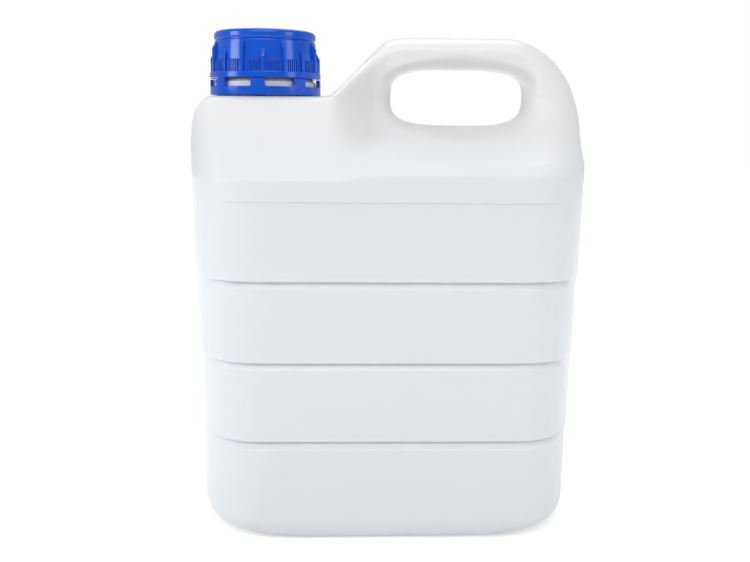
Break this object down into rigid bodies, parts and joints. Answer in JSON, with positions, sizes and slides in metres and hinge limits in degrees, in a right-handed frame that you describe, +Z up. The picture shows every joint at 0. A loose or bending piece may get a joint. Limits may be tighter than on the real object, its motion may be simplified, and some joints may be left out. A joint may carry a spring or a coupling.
{
  "type": "bottle",
  "caption": "Hollow jerrycan-shaped plastic bottle with a moulded-in carrying handle, horizontal grooves, a ribbed screw cap with liner, and a windowed tamper band",
  "frame": {"origin": "centre of the bounding box in plan, on the plane the bottle stands on", "axes": "+Z up; +X from the neck towards the handle, along the width; +Y through the depth, away from the viewer"},
  "size_m": [0.1678, 0.104, 0.2097],
  "materials": {
    "bottle_white": "satin, slightly translucent blow-moulded polyethylene",
    "cap_blue": "glossy injection-moulded polypropylene",
    "liner_foam": "matte closed-cell foam"
  },
  "bodies": {
    "bottle": {"bottle": "bottle_white", "tamper_ring": "cap_blue"},
    "liner": {"cap_liner": "liner_foam"},
    "cap": {"cap": "cap_blue"}
  },
  "joints": [
    {"name": "cap_lift", "type": "slide", "parent": "bottle", "child": "liner", "axis": [0, 0, 1], "range_m": [0, 0.0081]},
    {"name": "cap_turn", "type": "hinge", "parent": "liner", "child": "cap", "pos_m": [-0.0528, 0, 0.197], "axis": [0, 0, 1], "range_deg": [0, 720]}
  ],
  "couplings": [
    {"joint": "cap_lift", "follows": "cap_turn", "m_per_rad": 0.00063662}
  ]
}
